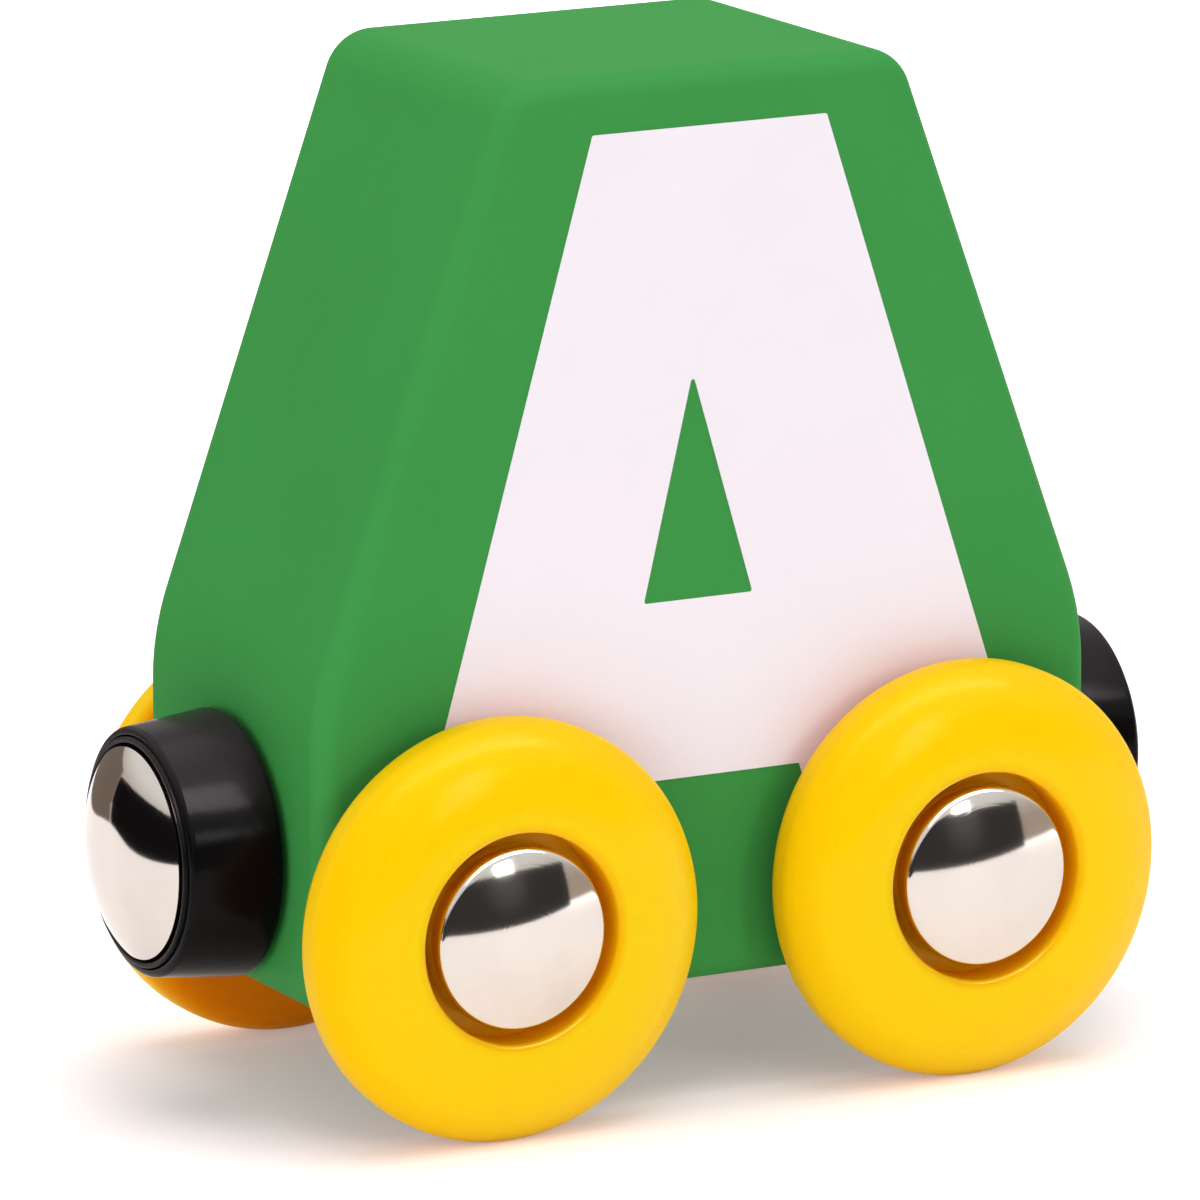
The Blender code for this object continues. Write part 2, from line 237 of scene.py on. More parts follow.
class Sheet:
    """A node tree that is filled by calls."""

    def __init__(self, tree: NodeTree) -> None:
        """Keeps the tree, cleared."""
        self.tree = tree
        tree.nodes.clear()

    def node(self, kind: str, settings: Values | None = None, inputs: Values | None = None) -> Outputs:
        """Adds a node.

        Args:
            kind: the node's type name.
            settings: its properties, set first.
            inputs: values or sockets by input name or number.

        Returns:
            The node's outputs.
        """
        node = self.tree.nodes.new(kind)
        for name, value in (settings or {}).items():
            setattr(node, name, value)
        for key, value in (inputs or {}).items():
            target = node.inputs[key] if isinstance(key, int) else enabled(node.inputs, key)
            if isinstance(value, Socket):
                self.tree.links.new(value.output, target)
            else:
                target.default_value = value
        return Outputs(self, node)

    def noise(self, vector: Socket, scale: float, detail: float) -> Socket:
        """Noise between 0 and 1, by its features in a metre and its octaves."""
        inputs = {"Vector": vector, "Scale": scale, "Detail": detail, "Roughness": NOISE_ROUGHNESS}
        return self.node("ShaderNodeTexNoise", {}, inputs)["Fac"]

    def stretched(self, vector: Socket, scale: Triple) -> Socket:
        """Coordinates times a factor along each axis."""
        return self.node("ShaderNodeMapping", {}, {"Vector": vector, "Scale": scale})["Vector"]

    def along(self, vector: Socket, axis: Axis) -> Socket:
        """One coordinate of a vector."""
        return self.node("ShaderNodeSeparateXYZ", {}, {"Vector": vector})[axis.name]

    def seen(self) -> Socket:
        """Tells what is looked at from what is lit.

        Returns:
            1 for what the camera sees, also in a mirror or through glass, and 0 for light.
        """
        path = self.node("ShaderNodeLightPath")
        rays = path["Is Camera Ray"] + path["Is Glossy Ray"] + path["Is Transmission Ray"]
        return rays.math("MINIMUM", rays, 1.0)

    def mix(self, factor: Any, first: Any, second: Any) -> Socket:
        """A mix of two colours.

        Args:
            factor: 0 for the first, 1 for the second.
            first: a colour or socket.
            second: a colour or socket.

        Returns:
            The mixed colour.
        """
        inputs = {"Factor": factor}
        for name, value in (("A", first), ("B", second)):
            inputs[name] = value if isinstance(value, Socket) else opaque(value)
        return self.node("ShaderNodeMix", {"data_type": "RGBA"}, inputs)["Result"]


class MaterialSheet(Sheet):
    """A material's node tree, with its shader and coordinates."""

    def __init__(self, name: str, color: Color) -> None:
        """Makes an empty material.

        Args:
            name: the material's name.
            color: the plain colour that the viewport shows.
        """
        self.material = bpy.data.materials.new(name)
        self.material.use_nodes = True
        self.material.diffuse_color = opaque(color)
        super().__init__(self.material.node_tree)

    def place(self) -> Socket:
        """Object coordinates, in metres."""
        return self.node("ShaderNodeTexCoord")["Object"]

    def turned_radius(self) -> Socket:
        """Distance from a turned piece's axis, in metres."""
        return self.node("ShaderNodeAttribute", {"attribute_name": Lathe.RADIUS})["Fac"]

    def bump(self, height: Socket, distance: float) -> Socket:
        """A normal from a height of about 0 to 1, with the metres for a height of 1."""
        inputs = {"Height": height, "Distance": distance, "Strength": 1.0}
        return self.node("ShaderNodeBump", {}, inputs)["Normal"]

    def glow(self, color: Any, strength: Any) -> Socket:
        """A shader that gives light of a colour and strength."""
        return self.node("ShaderNodeEmission", {}, {"Color": color, "Strength": strength})["Emission"]

    def surface(self, shader: Socket) -> Material:
        """The material, with a shader on its output."""
        self.node("ShaderNodeOutputMaterial", {}, {"Surface": shader})
        return self.material

    def principled(self, inputs: Values) -> Socket:
        """A Principled shader with these values and sockets."""
        return self.node("ShaderNodeBsdfPrincipled", {}, inputs)["BSDF"]

    def finish(self, inputs: Values) -> Material:
        """The material, with a Principled shader of these values and sockets."""
        return self.surface(self.principled(inputs))


@dataclass(frozen=True)
class PaintedGrain:
    """Wood grain that shows through paint, and the fine peel of the paint itself."""

    stretch: Triple = (40.0, 420.0, 420.0)
    grain: Noise = (1.0, 4.0)
    peel: Noise = (2600.0, 1.0)

    def waves(self, sheet: MaterialSheet, place: Socket) -> tuple[Socket, Socket]:
        """The grain and the peel, each between 0 and 1."""
        grain = sheet.noise(sheet.stretched(place, self.stretch), *self.grain)
        return grain, sheet.noise(place, *self.peel)


@dataclass(frozen=True)
class WoodPaint:
    """Satin paint on a sanded wooden block, with the grain just showing through."""

    half_width: float
    edge_radius: float
    name: str = "satin_green_paint"
    color: Color = (0.048, 0.290, 0.064)
    deep: Color = (0.044, 0.274, 0.059)
    # A lighter green, for the painted highlight along the rounded edges.
    edge: Color = (0.050, 0.296, 0.067)
    roughness: float = 0.50
    specular: float = 0.015
    blotches: Noise = (70.0, 3.0)
    blotch_step: Step = (0.3, 0.7)
    blotch_share: float = 0.7
    edge_highlight_level: float = 0.3
    blotch_highlight_level: float = 0.5
    grain_gloss: float = 0.12
    blotch_gloss: float = 0.08
    grain_share: float = 0.6
    relief: float = 0.000035

    def material(self) -> Material:
        """Paints grain, blotches and a painted highlight along the rounded edges.

        Returns:
            The paint's material.
        """
        sheet = MaterialSheet(self.name, self.color)
        place = sheet.place()
        blotch = sheet.noise(place, *self.blotches)
        grain, peel = PaintedGrain().waves(sheet, place)
        across = abs(sheet.along(place, Axis.Y))
        turn = (across - (self.half_width - self.edge_radius)) / self.edge_radius
        # A parabola over the rounding, 1 at its middle.
        bulge = turn * (1.0 - turn) * 4.0
        # Painted highlight: the paint is lighter over the rounded edges, as they catch the light.
        painted_edge_highlight = bulge.math("MAXIMUM", bulge, 0.0) * (self.edge_highlight_level + blotch * self.blotch_highlight_level)
        cover = blotch.step(*self.blotch_step) * self.blotch_share + grain * (1.0 - self.blotch_share)
        height = grain * self.grain_share + peel * (1.0 - self.grain_share)
        return sheet.finish({
            "Base Color": sheet.mix(painted_edge_highlight, sheet.mix(cover, self.deep, self.color), self.edge),
            "Roughness": self.roughness + grain.swing(self.grain_gloss) + blotch.swing(self.blotch_gloss),
            "Specular IOR Level": self.specular,
            "Normal": sheet.bump(height, self.relief),
        })


@dataclass(frozen=True)
class LetterPaint:
    """A printed film of white paint."""

    name: str = "white_letter_paint"
    color: Color = (0.850, 0.800, 0.858)
    shade: Color = (0.834, 0.784, 0.842)
    roughness: float = 0.45
    specular: float = 0.15
    clouds: Noise = (110.0, 3.0)
    cloud_step: Step = (0.35, 0.7)
    grain_gloss: float = 0.1
    grain_share: float = 0.5
    relief: float = 0.00003

    def material(self) -> Material:
        """Prints the film, a little cloudy, over the grain.

        Returns:
            The film's material.
        """
        sheet = MaterialSheet(self.name, self.color)
        place = sheet.place()
        cloud = sheet.noise(place, *self.clouds)
        grain, peel = PaintedGrain().waves(sheet, place)
        height = grain * self.grain_share + peel * (1.0 - self.grain_share)
        return sheet.finish({
            "Base Color": sheet.mix(cloud.step(*self.cloud_step), self.color, self.shade),
            "Roughness": self.roughness + grain.swing(self.grain_gloss),
            "Specular IOR Level": self.specular,
            "Normal": sheet.bump(height, self.relief),
        })


@dataclass(frozen=True)
class WheelPlastic:
    """Glossy moulded plastic, with painted shade towards the recess, the rim and the back."""

    recess_radius: float
    radius: float
    name: str = "glossy_yellow_plastic"
    color: Color = (1.0, 0.598, 0.0004)
    # Painted shade for the recess and its lip, which lie in shadow.
    recess_shade: Color = (0.960, 0.430, 0.0004)
    # Painted shade for the back, which faces the block in shadow.
    back_shade: Color = (1.0, 0.300, 0.0004)
    # A deeper yellow, for random clouds and for painted shade over the rim.
    deep: Color = (0.980, 0.515, 0.0004)
    sheen: Color = (1.0, 0.70, 0.03)
    lip_end: float = 0.0059
    rim_start: float = 0.0084
    back: float = 0.0107
    back_end: float = 0.0119
    roughness: float = 0.24
    rim_roughness: float = 0.30
    specular: float = 0.3
    coat: float = 0.11
    coat_roughness: float = 0.14
    subsurface: float = 0.5
    subsurface_radius: Triple = (1.0, 0.25, 0.02)
    subsurface_scale: float = 0.008
    clouds: Noise = (160.0, 2.0)
    skins: Noise = (1500.0, 2.0)
    rim_shade_share: float = 0.8
    cloud_tint: float = 0.12
    cloud_gloss: float = 0.06
    cloud_coat: float = 0.04
    skin_gloss: float = 0.05
    relief: float = 0.000008

    def material(self) -> Material:
        """Paints shade into the recess, over the rim and on the back, and dulls the rim.

        Returns:
            The plastic's material.
        """
        sheet = MaterialSheet(self.name, self.color)
        place = sheet.place()
        out = sheet.turned_radius()
        cloud = sheet.noise(place, *self.clouds)
        skin = sheet.noise(place, *self.skins)
        # Painted shade: the recess and its lip are darker, as they lie in shadow.
        lip = out.step(self.lip_end, self.recess_radius)
        # Painted shade: the rim's rounding is deeper yellow, as it turns from the light; it is also dulled.
        rim = out.step(self.rim_start, self.radius)
        # Painted shade: the back, which faces the block, is darker and redder, as it lies in shadow.
        behind = abs(sheet.along(place, Axis.Y)).step(self.back_end, self.back)
        body = sheet.mix(rim * self.rim_shade_share + cloud.swing(self.cloud_tint), self.color, self.deep)
        gloss = cloud.swing(self.cloud_gloss) + skin.swing(self.skin_gloss)
        return sheet.finish({
            "Base Color": sheet.mix(behind, sheet.mix(lip, body, self.recess_shade), self.back_shade),
            "Roughness": self.roughness + rim * self.rim_roughness + gloss,
            "Specular IOR Level": self.specular,
            "Specular Tint": opaque(self.sheen),
            "Coat Weight": (self.coat + cloud.swing(self.cloud_coat)) * (1.0 - rim),
            "Coat Roughness": self.coat_roughness,
            "Subsurface Weight": self.subsurface,
            "Subsurface Radius": self.subsurface_radius,
            "Subsurface Scale": self.subsurface_scale,
            "Normal": sheet.bump(skin, self.relief),
        })


@dataclass(frozen=True)
class Chrome:
    """Bright plating with faint polishing rings."""

    name: str
    color: Color = (0.625, 0.590, 0.540)
    haze: Color = (0.575, 0.535, 0.485)
    roughness: float = 0.08
    clouds: Noise = (320.0, 3.0)
    haze_step: Step = (0.45, 0.75)
    haze_share: float = 0.6
    ring_scale: float = 9000.0
    cloud_gloss: float = 0.05
    ring_gloss: float = 0.03
    ring_share: float = 0.4
    relief: float = 0.0000015

    def material(self) -> Material:
        """Polishes the metal in rings round the turned axis.

        Returns:
            The plating's material.
        """
        sheet = MaterialSheet(self.name, self.color)
        cloud = sheet.noise(sheet.place(), *self.clouds)
        waves = {"W": sheet.turned_radius(), "Scale": self.ring_scale}
        ring = sheet.node("ShaderNodeTexNoise", {"noise_dimensions": "1D"}, waves)["Fac"]
        height = ring * self.ring_share + cloud * (1.0 - self.ring_share)
        return sheet.finish({
            "Base Color": sheet.mix(cloud.step(*self.haze_step) * self.haze_share, self.color, self.haze),
            "Metallic": 1.0,
            "Roughness": self.roughness + cloud.swing(self.cloud_gloss) + ring.swing(self.ring_gloss),
            "Normal": sheet.bump(height, self.relief),
        })


@dataclass(frozen=True)
class BlackPlastic:
    """Glossy moulded black plastic, with a painted sheen on its upper side and a few specks of dirt."""

    name: str
    color: Color = (0.0035, 0.0030, 0.0032)
    # Grey, for the specks and for the painted sheen on the upper side.
    dust_and_sheen: Color = (0.0270, 0.0205, 0.0230)
    sheen_heights: Step = (0.0150, 0.0200)
    sheen_cover: float = 0.6
    sheen_cloud: float = 0.6
    speck_step: Step = (0.5, 0.8)
    speck_share: float = 0.1
    roughness: float = 0.17
    specular: float = 0.06
    clouds: Noise = (240.0, 3.0)
    skins: Noise = (2200.0, 2.0)
    dust_and_sheen_gloss: float = 0.12
    cloud_gloss: float = 0.1
    skin_gloss: float = 0.06
    relief: float = 0.000006

    def material(self) -> Material:
        """Paints a sheen on the upper side and lays a few specks of dirt all over.

        Returns:
            The plastic's material.
        """
        sheet = MaterialSheet(self.name, self.color)
        place = sheet.place()
        cloud = sheet.noise(place, *self.clouds)
        skin = sheet.noise(place, *self.skins)
        # Painted sheen: the upper side is lighter, as it reflects the light from above.
        upper = sheet.along(place, Axis.Z).step(*self.sheen_heights)
        specks = cloud.step(*self.speck_step) * self.speck_share
        dust_and_sheen_mask = upper * (self.sheen_cover + cloud * self.sheen_cloud) + specks
        gloss = cloud.swing(self.cloud_gloss) + skin.swing(self.skin_gloss)
        return sheet.finish({
            "Base Color": sheet.mix(dust_and_sheen_mask, self.color, self.dust_and_sheen),
            "Roughness": self.roughness + dust_and_sheen_mask * self.dust_and_sheen_gloss + gloss,
            "Specular IOR Level": self.specular,
            "Normal": sheet.bump(skin, self.relief),
        })


@dataclass(frozen=True)
class DrawnSteel:
    """Bare steel wire with drawing marks along an axis."""

    name: str
    axis: Axis
    scale_along: float = 60.0
    scale_across: float = 900.0
    color: Color = (0.56, 0.555, 0.55)
    dark: Color = (0.40, 0.395, 0.39)
    roughness: float = 0.32
    marks: Noise = (1.0, 3.0)
    mark_step: Step = (0.35, 0.7)
    clouds: Noise = (300.0, 2.0)
    mark_gloss: float = 0.2
    cloud_gloss: float = 0.1
    relief: float = 0.00001

    def material(self) -> Material:
        """Draws the marks out along the wire.

        Returns:
            The steel's material.
        """
        sheet = MaterialSheet(self.name, self.color)
        place = sheet.place()
        scale = tuple(self.scale_along if axis is self.axis else self.scale_across for axis in Axis)
        mark = sheet.noise(sheet.stretched(place, scale), *self.marks)
        cloud = sheet.noise(place, *self.clouds)
        return sheet.finish({
            "Base Color": sheet.mix(mark.step(*self.mark_step), self.color, self.dark),
            "Metallic": 1.0,
            "Roughness": self.roughness + mark.swing(self.mark_gloss) + cloud.swing(self.cloud_gloss),
            "Normal": sheet.bump(mark, self.relief),
        })


@dataclass(frozen=True)
class Ferrite:
    """Sintered magnet, dark grey and grainy."""

    name: str = "sintered_ferrite"
    color: Color = (0.045, 0.045, 0.047)
    speck: Color = (0.085, 0.084, 0.085)
    roughness: float = 0.62
    grains: Noise = (4200.0, 3.0)
    grain_step: Step = (0.5, 0.75)
    clouds: Noise = (500.0, 2.0)
    cloud_gloss: float = 0.2
    relief: float = 0.00002

    def material(self) -> Material:
        """Speckles the magnet.

        Returns:
            The magnet's material.
        """
        sheet = MaterialSheet(self.name, self.color)
        place = sheet.place()
        grain = sheet.noise(place, *self.grains)
        cloud = sheet.noise(place, *self.clouds)
        return sheet.finish({
            "Base Color": sheet.mix(grain.step(*self.grain_step), self.color, self.speck),
            "Roughness": self.roughness + cloud.swing(self.cloud_gloss),
            "Normal": sheet.bump(grain, self.relief),
        })


def new_object(name: str, data: ID) -> Object:
    """Puts a new object in the scene, at the origin.

    Args:
        name: the object's name.
        data: its mesh, curve, light or camera.

    Returns:
        The object.
    """
    obj = bpy.data.objects.new(name, data)
    bpy.context.scene.collection.objects.link(obj)
    return obj


def plain_mesh(obj: Object, name: str) -> Mesh:
    """Takes a plain mesh from an object as its modifiers leave it, and removes the object.

    Args:
        obj: the object.
        name: the mesh's name.

    Returns:
        The mesh.
    """
    bpy.context.view_layer.update()
    graph = bpy.context.evaluated_depsgraph_get()
    mesh = bpy.data.meshes.new_from_object(obj.evaluated_get(graph), depsgraph=graph)
    mesh.name = name
    obj.modifiers.clear()
    bpy.data.objects.remove(obj)
    return mesh


def weld(mesh: Mesh) -> None:
    """Merges a mesh's doubles and turns its faces outwards.

    Args:
        mesh: the mesh.
    """
    shell = bmesh.new()
    shell.from_mesh(mesh)
    bmesh.ops.remove_doubles(shell, verts=shell.verts, dist=WELD)
    bmesh.ops.recalc_face_normals(shell, faces=shell.faces)
    shell.to_mesh(mesh)
    shell.free()


class Lathe:
    """A Geometry Nodes tree that turns a profile about Z, and the calls that run it."""

    RADIUS = "turned_radius"

    def __init__(self) -> None:
        """Builds the tree: a grid of sides by profile points, each point swung to its angle."""
        self.tree = bpy.data.node_groups.new("turned_piece", "GeometryNodeTree")
        face = self.tree.interface
        face.new_socket("Profile", in_out="INPUT", socket_type="NodeSocketGeometry")
        self.sides = face.new_socket("Sides", in_out="INPUT", socket_type="NodeSocketInt").identifier
        self.finish = face.new_socket("Finish", in_out="INPUT", socket_type="NodeSocketMaterial").identifier
        face.new_socket("Piece", in_out="OUTPUT", socket_type="NodeSocketGeometry")
        sheet = Sheet(self.tree)
        given = sheet.node("NodeGroupInput")
        profile = {"Geometry": given["Profile"]}
        sides = given["Sides"]
        count = sheet.node("GeometryNodeAttributeDomainSize", {"component": "MESH"}, profile)["Point Count"]
        cells = {"Vertices X": sides + 1.0, "Vertices Y": count}
        piece = sheet.node("GeometryNodeMeshGrid", {}, cells)["Mesh"]
        index = sheet.node("GeometryNodeInputIndex")["Index"]
        # Half a point is added so that the division can't fall below a whole column.
        column = ((index + 0.5) / count).floor()
        position = sheet.node("GeometryNodeInputPosition")["Position"]
        sampled = sheet.node(
            "GeometryNodeSampleIndex",
            {"data_type": "FLOAT_VECTOR", "domain": "POINT"},
            {**profile, "Value": position, "Index": index - column * count},
        )["Value"]
        radius = sheet.along(sampled, Axis.X)
        angle = column / sides * (2 * pi)
        swung = {
            "X": radius * angle.math("COSINE", angle),
            "Y": radius * angle.math("SINE", angle),
            "Z": sheet.along(sampled, Axis.Z),
        }
        spot = sheet.node("ShaderNodeCombineXYZ", {}, swung)["Vector"]
        on_points = {"data_type": "FLOAT", "domain": "POINT"}
        for kind, settings, inputs in (
            ("GeometryNodeStoreNamedAttribute", on_points, {"Name": self.RADIUS, "Value": radius}),
            ("GeometryNodeSetPosition", {}, {"Position": spot}),
            ("GeometryNodeMergeByDistance", {}, {"Distance": WELD}),
            ("GeometryNodeSetShadeSmooth", {}, {}),
            ("GeometryNodeRealizeInstances", {}, {}),
            ("GeometryNodeSetMaterial", {}, {"Material": given["Finish"]}),
        ):
            piece = sheet.node(kind, settings, {"Geometry": piece, **inputs})["Geometry"]
        sheet.node("NodeGroupOutput", {}, {"Piece": piece})

    def turn(self, name: str, profile: Profile, sides: int, finish: Material | None) -> Mesh:
        """Turns a profile into a plain mesh.

        Args:
            name: the mesh's name.
            profile: (radius, height) points, down the outer side; round a bore the first point is repeated.
            sides: facets round the axis.
            finish: the material.

        Returns:
            The mesh, about Z.
        """
        outline = bpy.data.meshes.new(name)
        outline.from_pydata([(radius, 0.0, height) for radius, height in profile], [], [])
        obj = new_object(name, outline)
        modifier = obj.modifiers.new("turn", "NODES")
        modifier.node_group = self.tree
        modifier[self.sides] = sides
        modifier[self.finish] = finish
        mesh = plain_mesh(obj, name)
        weld(mesh)
        mesh.set_sharp_from_angle(angle=SHARP_EDGE)
        return mesh


@dataclass(frozen=True)
class Dome:
    """A piece of a sphere over a round base."""

    base_radius: float
    rise: float
    top: float

    @property
    def sphere(self) -> float:
        """The sphere's radius."""
        return (self.base_radius**2 + self.rise**2) / (2 * self.rise)

    def height(self, out: float) -> float:
        """The height of the dome at a distance from its axis."""
        return self.top - self.sphere + sqrt(self.sphere**2 - out**2)


def arc(center: Point, wide: float, high: float, start: float, end: float, steps: int) -> Profile:
    """Points of an elliptic arc from its half axes and its two angles in degrees, both ends included."""
    angles = [radians(start + (end - start) * step / steps) for step in range(steps + 1)]
    return [(center[0] + wide * cos(angle), center[1] + high * sin(angle)) for angle in angles]


def rounding(
    before: Any, corner: Any, after: Any, radius: float, steps: int, inset: float = 0.0
) -> list[Vector]:
    """Rounds a corner.

    Args:
        before: the point before the corner.
        corner: the corner.
        after: the point after it.
        radius: the arc's radius.
        steps: its spans.
        inset: how much smaller the arc is made about its own centre.

    Returns:
        The arc's points, both ends included.
    """
    tip = Vector(corner)
    back = (Vector(before) - tip).normalized()
    onward = (Vector(after) - tip).normalized()
    half = back.angle(onward) / 2
    reach = radius / tan(half)
    center = tip + (back + onward).normalized() * radius / sin(half)
    first = (tip + back * reach - center) * (1 - inset / radius)
    swing = first.angle_signed(tip + onward * reach - center)
    return [center + Matrix.Rotation(-swing * step / steps, 2) @ first for step in range(steps + 1)]


def softened(profile: Profile, radii: dict[int, float], steps: int) -> Profile:
    """Rounds some of a profile's corners.

    Args:
        profile: the points.
        radii: the rounding at a point, by its number.
        steps: the spans of each rounding.

    Returns:
        The new points.
    """
    points: Profile = []
    for number, corner in enumerate(profile):
        if number in radii:
            after = profile[(number + 1) % len(profile)]
            bend = rounding(profile[number - 1], corner, after, radii[number], steps)
            points += [(point.x, point.y) for point in bend]
        else:
            points.append(corner)
    return points


def placed(mesh: Mesh, name: str, move: Matrix) -> Mesh:
    """Copies a mesh to its place.

    Args:
        mesh: the mesh to copy.
        name: the copy's name.
        move: where it goes.

    Returns:
        The copy.
    """
    copy = mesh.copy()
    copy.name = name
    copy.transform(move)
    return copy


def add_piece(name: str, mesh: Mesh, move: Matrix, body: str, slot: str, *nodes: str) -> None:
    """Puts a copy of a finished mesh in the scene and ties it to the frame.

    Args:
        name: the piece's name.
        mesh: the mesh to copy.
        move: where the copy goes.
        body: the body that it rides on.
        slot: the record's material slot; not used.
        nodes: the solids that it stands for.
    """
    obj = new_object(name, placed(mesh, name, move))
    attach(obj, body)
    if nodes:
        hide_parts(*nodes)
    LOG.info("%s on %s, %d faces", name, body, len(obj.data.polygons))


def dress(node: str, material: Material) -> None:
    """Gives a solid of the frame a new material.

    Args:
        node: the solid's name.
        material: its new material.
    """
    materials = frame["nodes"][node].data.materials
    if materials:
        materials[0] = material
    else:
        materials.append(material)
    LOG.info("%s keeps its solid", node)


@dataclass(frozen=True)
class Fits:
    """Clearances that several pieces share."""

    seat: float = 0.0003
    push: float = 0.0001
    running: float = 0.0001


@dataclass
class RunningGear:
    """Two axles, each with a wheel and a hub cap at both ends."""

    lathe: Lathe
    fits: Fits
    axle_x: float = joint_place("rear_axle_spin", Axis.X)
    axle_height: float = joint_place("rear_axle_spin", Axis.Z)
    axle_radius: float = solid_size("rear_axle", Axis.Z) / 2
    axle_chamfer: float = 0.0003
    axle_sides: int = 64
    wheel_radius: float = solid_size("rear_right_wheel", Axis.Z) / 2
    boss_face: float = solid_low("rear_right_wheel", Axis.Y)
    boss_height: float = 0.0004
    boss_wall: float = 0.0020
    boss_foot_round: float = 0.0002
    boss_edge_round: float = 0.00015
    back_round: float = 0.0012
    tread_width: float = 0.0006
    face_crown: float = 0.0021
    web: float = 0.0021
    lip: float = 0.0003
    recess_radius: float = 0.00525
    lip_steps: int = 10
    face_steps: int = 40
    back_steps: int = 14
    boss_steps: int = 4
    wheel_sides: int = 160
    cap_radius: float = solid_size("rear_right_hub_cap", Axis.Z) / 2
    cap_lift: float = 0.0005
    cap_rim: float = 0.0012
    cap_crown: float = 0.0010
    cap_wall: float = 0.0005
    cap_edge: float = 0.0004
    socket_wall: float = 0.0010
    socket_roof: float = 0.0009
    dome_steps: int = 36
    edge_steps: int = 10
    cap_sides: int = 128

    def heights(self) -> dict[str, float]:
        """Works out the places along the axle.

        Returns:
            Heights by name, outwards from the middle of the car.
        """
        back = self.boss_face + self.boss_height
        tread_out = back + self.back_round + self.tread_width
        floor = self.boss_face + self.web
        seat = floor + self.fits.seat
        rim_front = seat + self.cap_lift + self.cap_rim
        top = rim_front + self.cap_crown
        return {
            "back": back,
            "tread_out": tread_out,
            "face": tread_out + self.face_crown,
            "floor": floor,
            "seat": seat,
            "rim_back": seat + self.cap_lift,
            "rim_front": rim_front,
            "top": top,
            "socket_end": top - self.socket_roof,
        }

    def wheel_profile(self) -> Profile:
        """Draws a wheel.

        Returns:
            Its outline, from the lip over the face, the tread and the back to the bore.
        """
        at = self.heights()
        bore = self.axle_radius + self.fits.running
        start = self.recess_radius + self.lip
        lip = arc((start, at["face"] - self.lip), self.lip, self.lip, 180, 90, self.lip_steps)
        crown = self.wheel_radius - start
        face = arc((start, at["tread_out"]), crown, self.face_crown, 90, 0, self.face_steps)
        back_center = (self.wheel_radius - self.back_round, at["back"] + self.back_round)
        back = arc(back_center, self.back_round, self.back_round, 0, -90, self.back_steps)
        boss = bore + self.boss_wall
        inside = [(boss, at["back"]), (boss, self.boss_face), (bore, self.boss_face), (bore, at["floor"])]
        inside = softened(inside, {0: self.boss_foot_round, 1: self.boss_edge_round}, self.boss_steps)
        return lip + face[1:] + back + inside + [(self.recess_radius, at["floor"]), lip[0]]

    def cap_profile(self) -> Profile:
        """Draws a hub cap.

        Returns:
            Its outline: a dome with a rolled rim, hollow behind, and a socket for the axle.
        """
        at = self.heights()
        socket = self.axle_radius + self.fits.push
        tube = socket + self.socket_wall
        inner = self.cap_radius - self.cap_wall
        dome = Dome(self.cap_radius, self.cap_crown, at["top"])
        dome_end = self.cap_radius - self.cap_edge
        outs = [dome_end * step / self.dome_steps for step in range(self.dome_steps + 1)]
        crown = [(out, dome.height(out)) for out in outs]
        lean = asin(dome_end / dome.sphere)
        edge_x = dome_end - self.cap_edge * sin(lean)
        edge_z = crown[-1][1] - self.cap_edge * cos(lean)
        turns = [lean + (pi / 2 - lean) * step / self.edge_steps for step in range(1, self.edge_steps + 1)]
        rolled = [(edge_x + self.cap_edge * sin(turn), edge_z + self.cap_edge * cos(turn)) for turn in turns]
        hollow = [(rolled[-1][0], at["rim_back"]), (inner, at["rim_back"]), (inner, at["rim_front"])]
        core = [(tube, at["rim_front"]), (tube, at["seat"]), (socket, at["seat"])]
        return crown + rolled + hollow + core + [(socket, at["socket_end"]), (0.0, at["socket_end"])]

    def axle_profile(self) -> Profile:
        """Draws an axle.

        Returns:
            Its outline, with a chamfer at both ends.
        """
        end = self.heights()["socket_end"] - self.fits.seat
        neck = self.axle_radius - self.axle_chamfer
        outer = [(0.0, end), (neck, end), (self.axle_radius, end - self.axle_chamfer)]
        return outer + [(radius, -height) for radius, height in reversed(outer)]

    def line(self, end: End, side: Side) -> Matrix:
        """The move from the lathe's axis to an axle's, with the lathe's top towards a side."""
        middle = Matrix.Translation((self.axle_x * end.value, 0.0, self.axle_height))
        return middle @ Matrix.Rotation(-QUARTER_TURN * side.value, 4, "X")

    def build(self) -> None:
        """Turns the pieces and puts a copy at every place."""
        plastic = WheelPlastic(self.recess_radius, self.wheel_radius).material()
        chrome = Chrome("bright_hub_chrome").material()
        steel = DrawnSteel("drawn_axle_steel", Axis.Y).material()
        wheel = self.lathe.turn("wheel", self.wheel_profile(), self.wheel_sides, plastic)
        cap = self.lathe.turn("hub_cap", self.cap_profile(), self.cap_sides, chrome)
        axle = self.lathe.turn("axle", self.axle_profile(), self.axle_sides, steel)
        for end in End:
            word = end.name.lower()
            axle_set = f"{word}_axle_set"
            across = self.line(end, Side.RIGHT)
            add_piece(f"{word}_axle_wire", axle, across, axle_set, "axle_steel", f"{word}_axle")
            for side in Side:
                spot = f"{word}_{side.name.lower()}"
                move = self.line(end, side)
                rider = f"{spot}_wheel"
                add_piece(f"{spot}_wheel_shell", wheel, move, rider, "wheel_plastic", f"{spot}_wheel")
                add_piece(f"{spot}_hub_dome", cap, move, axle_set, "cap_chrome", f"{spot}_hub_cap")


